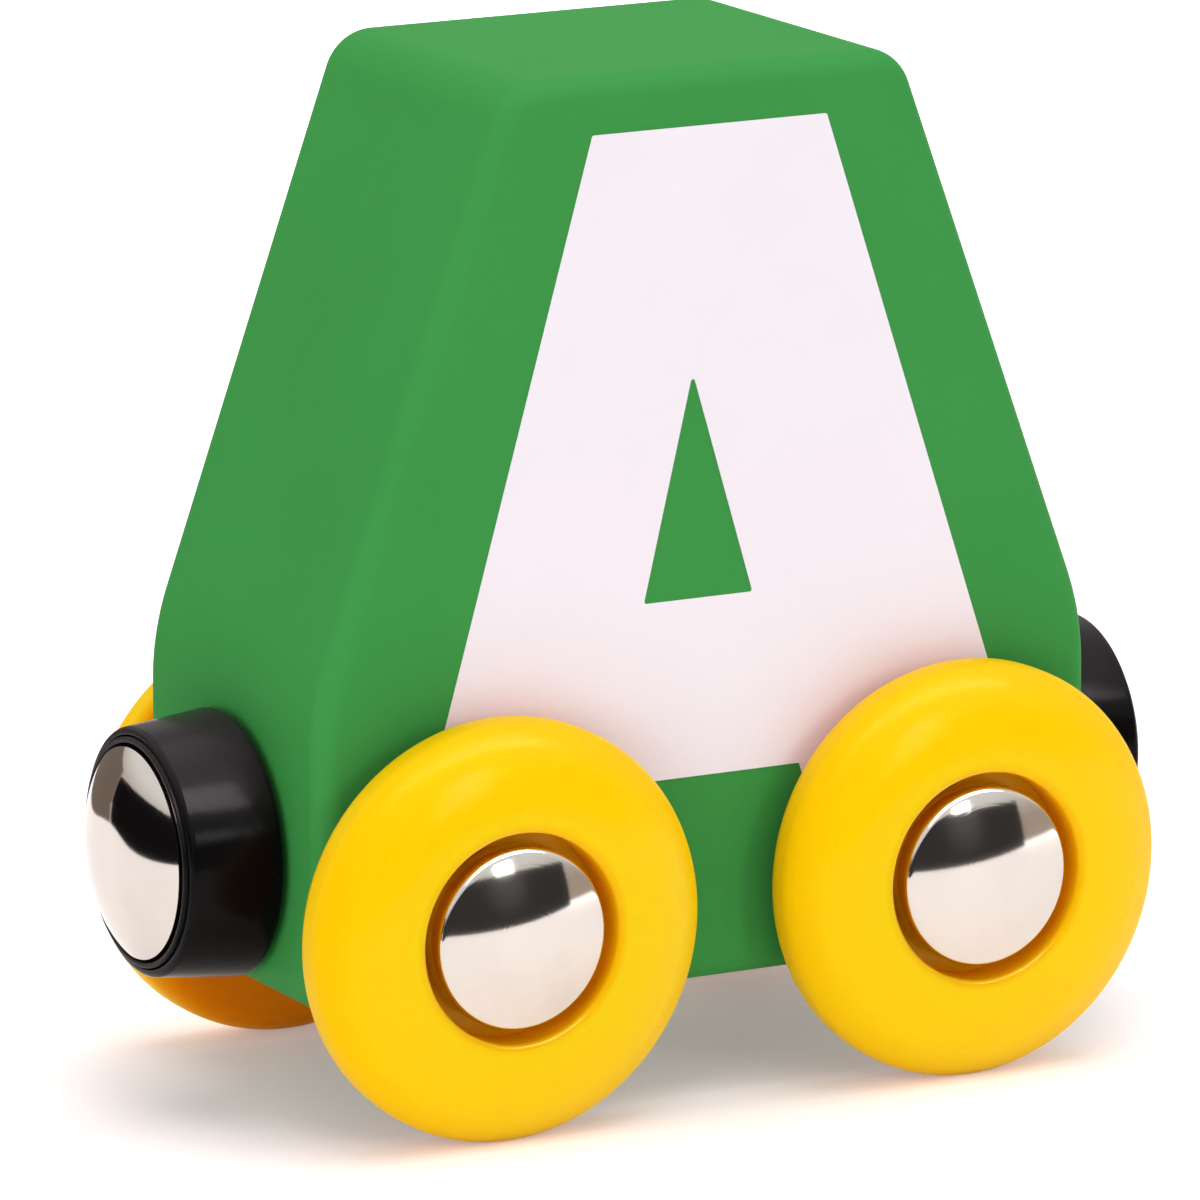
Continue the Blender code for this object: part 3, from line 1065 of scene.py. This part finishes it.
@dataclass
class Couplers:
    """A magnetic coupler at each end: a cup, a pole cap and the ring that keeps it in."""

    lathe: Lathe
    fits: Fits
    height: float = solid_middle("rear_coupler_cup", Axis.Z)
    block_end: float = solid_high("body_block", Axis.X)
    cup_radius: float = solid_size("rear_coupler_cup", Axis.Z) / 2
    cup_taper: float = 0.00045
    cup_wall: float = 0.0004
    cup_floor: float = 0.0008
    cup_rear_round: float = 0.0004
    cup_front_round: float = 0.00035
    mouth_depth: float = 0.0020
    spigot_radius: float = 0.0040
    spigot_length: float = 0.0033
    ring_wall: float = 0.0003
    ring_height: float = solid_size("rear_retaining_ring", Axis.X)
    ring_clearance: float = 0.00015
    ring_round: float = 0.0001
    ring_color: Color = (0.006, 0.0055, 0.0058)
    ring_roughness: float = 0.28
    pole_wall: float = 0.0005
    pole_flange: float = 0.0005
    pole_crown: float = 0.0014
    pole_flat: float = 0.0009
    magnet_thickness: float = solid_size("rear_coupler_magnet", Axis.X)
    magnet_proud: float = 0.0020
    screw_radius: float = 0.00095
    screw_head: float = solid_size("rear_coupler_screw", Axis.Z) / 2
    screw_sunk: float = 0.0002
    screw_hole_gap: float = 0.0003
    screw_length: float = solid_size("rear_coupler_screw", Axis.X)
    front_steps: int = 10
    rear_steps: int = 8
    dome_steps: int = 40
    hollow_steps: int = 16
    ring_steps: int = 6
    sides: int = 160

    def places(self) -> dict[str, float]:
        """Works out the places along a coupler, outwards from the middle of the car, and its radii.

        Returns:
            Heights and radii by name.
        """
        seat = self.fits.seat
        back = self.block_end + seat
        floor = back + self.cup_floor
        magnet_front = floor + seat + self.magnet_thickness
        shoulder = magnet_front - self.magnet_proud
        flange_back = shoulder + seat
        flange_front = flange_back + self.pole_flange
        ring_back = flange_front + seat
        front_radius = self.cup_radius - self.cup_taper
        mouth = front_radius - self.cup_wall
        ring_outer = mouth - self.fits.push
        ring_inner = ring_outer - self.ring_wall
        pole = ring_inner - self.ring_clearance
        return {
            "back": back,
            "floor": floor,
            "shoulder": shoulder,
            "front": shoulder + self.mouth_depth,
            "flange_back": flange_back,
            "flange_front": flange_front,
            "ring_back": ring_back,
            "ring_front": ring_back + self.ring_height,
            "pole_rim": magnet_front + seat,
            "front_radius": front_radius,
            "mouth": mouth,
            "ring_outer": ring_outer,
            "ring_inner": ring_inner,
            "pole": pole,
            "magnet": pole - self.pole_wall - seat,
        }

    def cup_profile(self) -> Profile:
        """Draws the cup.

        Returns:
            Its outline: tapered outside, a stepped pocket inside and a spigot behind.
        """
        at = self.places()
        hole = self.screw_radius + self.screw_hole_gap
        pocket = at["magnet"] + self.fits.seat
        sink_top = self.screw_head + self.fits.seat * sqrt(2) + self.screw_sunk
        front = (at["front_radius"] - self.cup_front_round, at["front"] - self.cup_front_round)
        rear = (self.cup_radius - self.cup_rear_round, at["back"] + self.cup_rear_round)
        outer = arc(front, self.cup_front_round, self.cup_front_round, 90, 0, self.front_steps)
        outer += arc(rear, self.cup_rear_round, self.cup_rear_round, 0, -90, self.rear_steps)
        spigot_end = self.block_end - self.spigot_length
        spigot = [(self.spigot_radius, at["back"]), (self.spigot_radius, spigot_end), (hole, spigot_end)]
        floor = [(hole, at["floor"] - (sink_top - hole)), (sink_top, at["floor"]), (pocket, at["floor"])]
        inner = [(pocket, at["shoulder"]), (at["mouth"], at["shoulder"]), (at["mouth"], at["front"])]
        return outer + spigot + floor + inner + [outer[0]]

    def pole_profile(self) -> Profile:
        """Draws the pole cap.

        Returns:
            Its outline: a dome with a flat middle, a flange and a hollow for the magnet.
        """
        at = self.places()
        span = at["pole"] - self.pole_flat
        dome = Dome(span, self.pole_crown, at["pole_rim"] + self.pole_crown)
        outs = [span * step / self.dome_steps for step in range(self.dome_steps + 1)]
        crown = [(0.0, dome.top)] + [(self.pole_flat + out, dome.height(out)) for out in outs]
        inner = at["pole"] - self.pole_wall
        rise = self.pole_crown - self.pole_wall
        roof = Dome(inner, rise, at["pole_rim"] + rise)
        outs = [inner * (1 - step / self.hollow_steps) for step in range(self.hollow_steps + 1)]
        hollow = [(out, roof.height(out)) for out in outs]
        flange_radius = at["mouth"] - self.fits.push
        flange = [(at["pole"], at["flange_front"]), (flange_radius, at["flange_front"])]
        flange += [(flange_radius, at["flange_back"]), (inner, at["flange_back"])]
        return crown + flange + hollow

    def ring_profile(self) -> Profile:
        """Draws the retaining ring.

        Returns:
            Its outline, with its front edges rounded.
        """
        at = self.places()
        inner = at["ring_inner"]
        outer = at["ring_outer"]
        front = at["ring_front"]
        back = at["ring_back"]
        square = [(inner, front), (outer, front), (outer, back), (inner, back)]
        points = softened(square, {0: self.ring_round, 1: self.ring_round}, self.ring_steps)
        return points + [points[0]]

    def socket_profile(self) -> Profile:
        """Draws the hole for the spigot in the block.

        Returns:
            Its outline, with the screw's pilot hole under it.
        """
        socket = self.spigot_radius + self.fits.push
        bottom = self.block_end - self.spigot_length - self.fits.seat
        pilot = self.screw_radius + self.fits.push
        pilot_end = self.places()["floor"] - self.screw_sunk - self.screw_length - self.fits.seat
        mouth = self.block_end + OVERSHOOT
        wide = [(0.0, mouth), (socket, mouth), (socket, bottom)]
        return wide + [(pilot, bottom), (pilot, pilot_end), (0.0, pilot_end)]

    def line(self, end: End) -> Matrix:
        """The move from the lathe's axis to a coupler's."""
        turn = Matrix.Rotation(QUARTER_TURN * end.value, 4, "Y")
        return Matrix.Translation((0.0, 0.0, self.height)) @ turn

    def build(self) -> None:
        """Turns the pieces, puts a copy at each end and dresses the hidden screw and magnet."""
        cup_black = BlackPlastic("glossy_black_cup").material()
        ring_black = BlackPlastic(
            "glossy_black_ring", color=self.ring_color, roughness=self.ring_roughness
        ).material()
        chrome = Chrome("bright_pole_chrome").material()
        cup = self.lathe.turn("coupler_cup", self.cup_profile(), self.sides, cup_black)
        pole = self.lathe.turn("pole_cap", self.pole_profile(), self.sides, chrome)
        ring = self.lathe.turn("retaining_ring", self.ring_profile(), self.sides, ring_black)
        steel = DrawnSteel("zinc_screw_steel", Axis.X).material()
        ferrite = Ferrite().material()
        for end in End:
            word = end.name.lower()
            move = self.line(end)
            add_piece(f"{word}_cup_shell", cup, move, "car", "cup_plastic", f"{word}_coupler_cup")
            add_piece(f"{word}_pole_dome", pole, move, "car", "pole_chrome", f"{word}_pole_cap")
            add_piece(f"{word}_snap_ring", ring, move, "car", "ring_plastic", f"{word}_retaining_ring")
            dress(f"{word}_coupler_screw", steel)
            dress(f"{word}_coupler_magnet", ferrite)


@dataclass
class Block:
    """The painted wooden block with leaning ends."""

    lathe: Lathe
    fits: Fits
    gear: RunningGear
    couplers: Couplers
    length: float = solid_size("body_block", Axis.X)
    top_length: float = 0.0218
    width: float = solid_size("body_block", Axis.Y)
    underside: float = solid_low("body_block", Axis.Z)
    height: float = solid_size("body_block", Axis.Z)
    shoulder: float = 0.0162
    top_radius: float = 0.0026
    shoulder_radius: float = 0.0142
    bottom_radius: float = 0.0025
    edge_radius: float = 0.0012
    edge_steps: int = 12
    corner_steps: int = 16

    def corners(self) -> list[tuple[Vector, float]]:
        """Lists the side outline's corners.

        Returns:
            Corners in X and Z with their radii, anticlockwise.
        """
        half = [
            (self.length / 2, self.underside, self.bottom_radius),
            (self.length / 2, self.underside + self.shoulder, self.shoulder_radius),
            (self.top_length / 2, self.underside + self.height, self.top_radius),
        ]
        both = half + [(-x, z, radius) for x, z, radius in reversed(half)]
        return [(Vector((x, z)), radius) for x, z, radius in both]

    def outline(self, inset: float) -> list[Vector]:
        """Draws the side outline moved inwards, with the same number of points at any inset.

        Args:
            inset: how far inwards.

        Returns:
            Points in X and Z.
        """
        corners = self.corners()
        points: list[Vector] = []
        for number, (corner, radius) in enumerate(corners):
            before = corners[number - 1][0]
            after = corners[(number + 1) % len(corners)][0]
            bend = rounding(before, corner, after, radius, self.corner_steps, inset)
            points.append(bend[0] + (before - corner).normalized() * HOLD)
            points += bend
            points.append(bend[-1] + (after - corner).normalized() * HOLD)
        return points

    def shell(self) -> Mesh:
        """Stands rings of the outline across the car and closes both sides.

        Returns:
            The block before it is bored.
        """
        rings: list[Point] = []
        for step in range(self.edge_steps + 1):
            turn = pi / 2 * step / self.edge_steps
            out = self.width / 2 - self.edge_radius * (1 - cos(turn))
            rings.append((out, self.edge_radius * (1 - sin(turn))))
        rings.insert(0, (self.width / 2, self.edge_radius + HOLD))
        rings.append((self.width / 2 - self.edge_radius - HOLD, 0.0))
        rings += [(-out, inset) for out, inset in reversed(rings)]
        mesh = bpy.data.meshes.new("painted_block")
        cage = bmesh.new()
        loops = []
        for out, inset in rings:
            loops.append([cage.verts.new((point.x, out, point.y)) for point in self.outline(inset)])
        for near, far in zip(loops, loops[1:]):
            for spot in range(len(near)):
                after = (spot + 1) % len(near)
                cage.faces.new((near[spot], near[after], far[after], far[spot]))
        cage.faces.new(loops[0])
        cage.faces.new(loops[-1])
        bmesh.ops.recalc_face_normals(cage, faces=cage.faces)
        cage.to_mesh(mesh)
        cage.free()
        return mesh

    def build(self) -> None:
        """Bores the block for the axles and the couplers and paints it."""
        obj = new_object("painted_block", self.shell())
        obj.data.materials.append(WoodPaint(self.width / 2, self.edge_radius).material())
        bore = self.gear.axle_radius + self.fits.running
        reach = self.width / 2 + OVERSHOOT
        hole = [(0.0, reach), (bore, reach), (bore, -reach), (0.0, -reach)]
        sides = self.gear.axle_sides
        axle_bore = self.lathe.turn("axle_bore", hole, sides, None)
        pocket = self.lathe.turn("coupler_socket", self.couplers.socket_profile(), sides, None)
        cutters = []
        for end in End:
            across = self.gear.line(end, Side.RIGHT)
            cutters.append(new_object("bore", placed(axle_bore, "bore", across)))
            cutters.append(new_object("socket", placed(pocket, "socket", self.couplers.line(end))))
        for cutter in cutters:
            boring = obj.modifiers.new("bore", "BOOLEAN")
            boring.operation = "DIFFERENCE"
            boring.solver = "EXACT"
            boring.object = cutter
        mesh = plain_mesh(obj, "painted_block")
        for cutter in cutters:
            bpy.data.objects.remove(cutter)
        mesh.shade_smooth()
        mesh.set_sharp_from_angle(angle=SHARP_EDGE)
        add_piece("painted_block", mesh, Matrix(), "car", "block_paint", "body_block")


@dataclass
class Letter:
    """The letter printed on both sides of the block, as a film of paint."""

    face: float
    film: float = 0.00004
    top: float = 0.04863
    top_left: float = -0.00646
    top_right: float = 0.00645
    lean_left: float = 0.289
    lean_right: float = 0.323
    foot: float = 0.0126
    bar_bottom: float = 0.01626
    counter_top: float = 0.03648
    counter_tip: float = -0.00101
    counter_bottom: float = 0.02520
    counter_left: float = -0.00376
    counter_right: float = 0.00228
    corner: float = 0.00012
    corner_steps: int = 4

    def outer(self) -> Profile:
        """Draws the letter, with the notch between its legs.

        Returns:
            Its outline in X and Z.
        """
        drop = self.top - self.foot
        rise = self.counter_top - self.counter_bottom
        lean_in_left = (self.counter_tip - self.counter_left) / rise
        lean_in_right = (self.counter_right - self.counter_tip) / rise
        left, right = [], []
        for level in (self.bar_bottom, self.foot):
            below = self.counter_top - level
            left.append((self.counter_tip - lean_in_left * below, level))
            right.append((self.counter_tip + lean_in_right * below, level))
        return [
            (self.top_left, self.top),
            (self.top_right, self.top),
            (self.top_right + self.lean_right * drop, self.foot),
            right[1],
            right[0],
            left[0],
            left[1],
            (self.top_left - self.lean_left * drop, self.foot),
        ]

    def counter(self) -> Profile:
        """The opening above the bar, in X and Z."""
        foot = [(self.counter_left, self.counter_bottom), (self.counter_right, self.counter_bottom)]
        return foot + [(self.counter_tip, self.counter_top)]

    def film_mesh(self, name: str) -> Mesh:
        """Fills the outline to a thin slab, flat in X and Y.

        Args:
            name: the mesh's name.

        Returns:
            The mesh, with its outer face upwards.
        """
        curve = bpy.data.curves.new(name, "CURVE")
        curve.dimensions = "2D"
        curve.fill_mode = "BOTH"
        curve.extrude = self.film / 2
        for corners in (self.outer(), self.counter()):
            radii = {number: self.corner for number in range(len(corners))}
            points = softened(corners, radii, self.corner_steps)
            spline = curve.splines.new("POLY")
            spline.points.add(len(points) - 1)
            for spot, (x, y) in zip(spline.points, points):
                spot.co = (x, y, 0.0, 1.0)
            spline.use_cyclic_u = True
        mesh = plain_mesh(new_object(name, curve), name)
        bpy.data.curves.remove(curve)
        weld(mesh)
        return mesh

    def build(self) -> None:
        """Lays a film on each side, turned so that both can be read."""
        film = self.film_mesh("letter_film")
        film.materials.append(LetterPaint().material())
        stand = Matrix.Rotation(QUARTER_TURN, 4, "X")
        out = Matrix.Translation((0.0, -(self.face + self.film / 2), 0.0))
        for side in Side:
            turn = Matrix.Rotation(0.0 if side is Side.LEFT else pi, 4, "Z")
            add_piece(f"{side.name.lower()}_letter", film, turn @ out @ stand, "car", "letter_paint")


def staged_sheet(name: str, corners: list[Triple], material: Material) -> Object:
    """Puts a flat sheet in the studio, as no part of the car.

    Args:
        name: the sheet's name.
        corners: its four corners in order.
        material: its material.

    Returns:
        Its object.
    """
    mesh = bpy.data.meshes.new(name)
    mesh.from_pydata(corners, [], [(0, 1, 2, 3)])
    mesh.materials.append(material)
    obj = new_object(name, mesh)
    return obj


@dataclass(frozen=True)
class Lamp:
    """A rectangular softbox that faces the car."""

    name: str
    place: Triple
    width: float
    height: float
    power: float
    mirrored: bool = True
    target: Triple = (0.0, 0.0, 0.02)

    def build(self) -> None:
        """Hangs the lamp."""
        data = bpy.data.lights.new(self.name, "AREA")
        data.shape = "RECTANGLE"
        data.size = self.width
        data.size_y = self.height
        data.energy = self.power
        obj = new_object(self.name, data)
        obj.location = self.place
        obj.rotation_euler = (Vector(self.target) - Vector(self.place)).to_track_quat("-Z", "Y").to_euler()
        obj.visible_glossy = self.mirrored


@dataclass(frozen=True)
class Card:
    """A card that only reflections see, as bright metal and black plastic need."""

    name: str
    start: Point
    end: Point
    start_height: float
    end_height: float
    color: Color
    lift: float = 0.0
    strength: float = 1.0

    def build(self) -> None:
        """Stands the card up."""
        corners = [
            (*self.start, self.lift),
            (*self.end, self.lift),
            (*self.end, self.end_height),
            (*self.start, self.start_height),
        ]
        sheet = MaterialSheet(self.name, self.color)
        shade = sheet.surface(sheet.glow(opaque(self.color), self.strength))
        obj = staged_sheet(self.name, corners, shade)
        obj.visible_camera = False
        obj.visible_diffuse = False
        obj.visible_shadow = False
        obj.visible_transmission = False


@dataclass
class Studio:
    """Camera, floor, lamps and surroundings."""

    place: Triple = (-0.24123, -0.45641, 0.13839)
    right: Triple = (0.884429, -0.466651, -0.004682)
    up: Triple = (0.105753, 0.190637, 0.975948)
    back: Triple = (-0.454534, -0.863652, 0.217955)
    focal_pixels: float = 10626.1
    floor_size: float = 12.0
    floor_color: Color = (0.955, 0.91, 0.92)
    floor_roughness: float = 0.7
    floor_specular: float = 0.2
    floor_lift: Color = (0.265, 0.230, 0.232)
    fade: Step = (0.06, 0.45)
    ambient: float = 0.645
    horizon: Color = (0.55, 0.45, 0.38)
    horizon_fade: Step = (0.42, 0.12)
    lamps: tuple[Lamp, ...] = (
        Lamp("overhead_softbox", (0.07, 0.02, 1.00), width=0.90, height=0.90, power=6.2),
        Lamp("front_strip_light", (0.20, -0.78, 0.235), width=0.14, height=0.26, power=0.75),
        Lamp("low_fill_light", (-0.80, -0.44, 0.14), width=0.50, height=0.26, power=1.4, mirrored=False),
    )
    cards: tuple[Card, ...] = (
        Card(
            "front_dark_card",
            start=(-0.100, -0.062),
            end=(0.272, -0.258),
            start_height=0.022,
            end_height=0.118,
            color=(0.045, 0.043, 0.043),
        ),
        Card(
            "left_dark_card",
            start=(-0.140, -0.070),
            end=(-0.088, 0.100),
            start_height=0.045,
            end_height=0.040,
            color=(0.006, 0.005, 0.006),
        ),
        Card(
            "back_grey_card",
            start=(-0.087, 0.100),
            end=(0.020, 0.120),
            start_height=0.045,
            end_height=0.045,
            color=(0.22, 0.17, 0.14),
        ),
        Card(
            "high_light_card",
            start=(-0.30, -0.42),
            end=(0.50, -0.42),
            start_height=0.95,
            end_height=0.95,
            color=(1.0, 0.96, 0.97),
            lift=0.41,
            strength=16.0,
        ),
    )

    def camera(self) -> None:
        """Stands the camera where the picture was taken from."""
        data = bpy.data.cameras.new("camera")
        data.sensor_width = SENSOR_WIDTH_MM
        data.lens = self.focal_pixels * SENSOR_WIDTH_MM / PICTURE_PIXELS
        data.clip_start = CLIP_START
        axes = Matrix((self.right, self.up, self.back)).transposed().to_4x4()
        obj = new_object("camera", data)
        obj.matrix_world = Matrix.Translation(self.place) @ axes
        bpy.context.scene.camera = obj

    def floor(self) -> None:
        """Lays the pale floor."""
        half = self.floor_size / 2
        corners = [(-half, -half, 0.0), (half, -half, 0.0), (half, half, 0.0), (-half, half, 0.0)]
        staged_sheet("floor", corners, self.floor_material())

    def floor_material(self) -> Material:
        """Lifts matt board for what the camera and mirrors see, so that it is white away from the shadow.

        Returns:
            The floor's material.
        """
        sheet = MaterialSheet("pale_floor", self.floor_color)
        board = sheet.principled({
            "Base Color": opaque(self.floor_color),
            "Roughness": self.floor_roughness,
            "Specular IOR Level": self.floor_specular,
        })
        away = sheet.node("ShaderNodeVectorMath", {"operation": "LENGTH"}, {0: sheet.place()})["Value"]
        lift = sheet.glow(sheet.mix(away.step(*self.fade), self.floor_lift, WHITE), sheet.seen())
        return sheet.surface(sheet.node("ShaderNodeAddShader", {}, {0: board, 1: lift})["Shader"])

    def surround(self) -> None:
        """Makes it white all round, full white for the camera, with a warm dim horizon in reflections."""
        world = bpy.data.worlds.new("studio")
        world.use_nodes = True
        bpy.context.scene.world = world
        sheet = Sheet(world.node_tree)
        strength = sheet.seen() * (1.0 - self.ambient) + self.ambient
        height = sheet.along(sheet.node("ShaderNodeTexCoord")["Generated"], Axis.Z)
        mirrored = sheet.node("ShaderNodeLightPath")["Is Glossy Ray"]
        color = sheet.mix(height.step(*self.horizon_fade) * mirrored, WHITE, self.horizon)
        light = {"Color": color, "Strength": strength}
        background = sheet.node("ShaderNodeBackground", {}, light)["Background"]
        sheet.node("ShaderNodeOutputWorld", {}, {"Surface": background})

    def build(self) -> None:
        """Sets up the studio."""
        self.camera()
        self.floor()
        for fitting in self.lamps + self.cards:
            fitting.build()
        self.surround()
        bpy.context.scene.view_settings.view_transform = "Standard"


def main() -> None:
    """Builds the studio and every sub-assembly in order."""
    logging.basicConfig(level=logging.INFO, format="%(name)s: %(message)s")
    Studio().build()
    lathe = Lathe()
    fits = Fits()
    gear = RunningGear(lathe, fits)
    couplers = Couplers(lathe, fits)
    block = Block(lathe, fits, gear, couplers)
    block.build()
    Letter(face=block.width / 2).build()
    gear.build()
    couplers.build()


if __name__ == "__main__":
    main()
